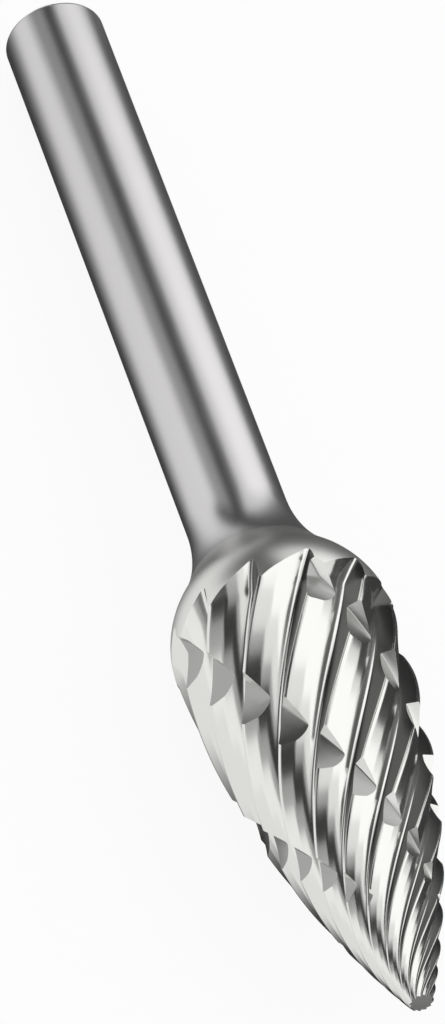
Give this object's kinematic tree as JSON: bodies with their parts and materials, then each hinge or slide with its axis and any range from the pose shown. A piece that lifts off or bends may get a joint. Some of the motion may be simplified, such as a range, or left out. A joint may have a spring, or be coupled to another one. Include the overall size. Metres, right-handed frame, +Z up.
{
  "type": "carbide burr",
  "caption": "Rotary burr for a die grinder: a pointed, bow-sided carbide head with spiral teeth and chip-breaker notches, brazed onto a plain cylindrical steel shank.",
  "frame": {"origin": "on the bench, under the middle of the burr's box as it lies", "axes": "+X from the shank's free end towards the point of the head, +Z up. The burr lies as it rests: on two of its teeth and on the rim of its shank, so its axis rises towards the point by 3.5 degrees"},
  "size_m": [0.077, 0.0128, 0.013],
  "materials": {
    "carbide": "ground tungsten carbide, bright, mirror-like on the tooth faces",
    "shank_steel": "hardened steel, smoothly ground and polished"
  },
  "bodies": {
    "root": {"cutting_head": "carbide", "shank": "shank_steel"}
  },
  "joints": []
}
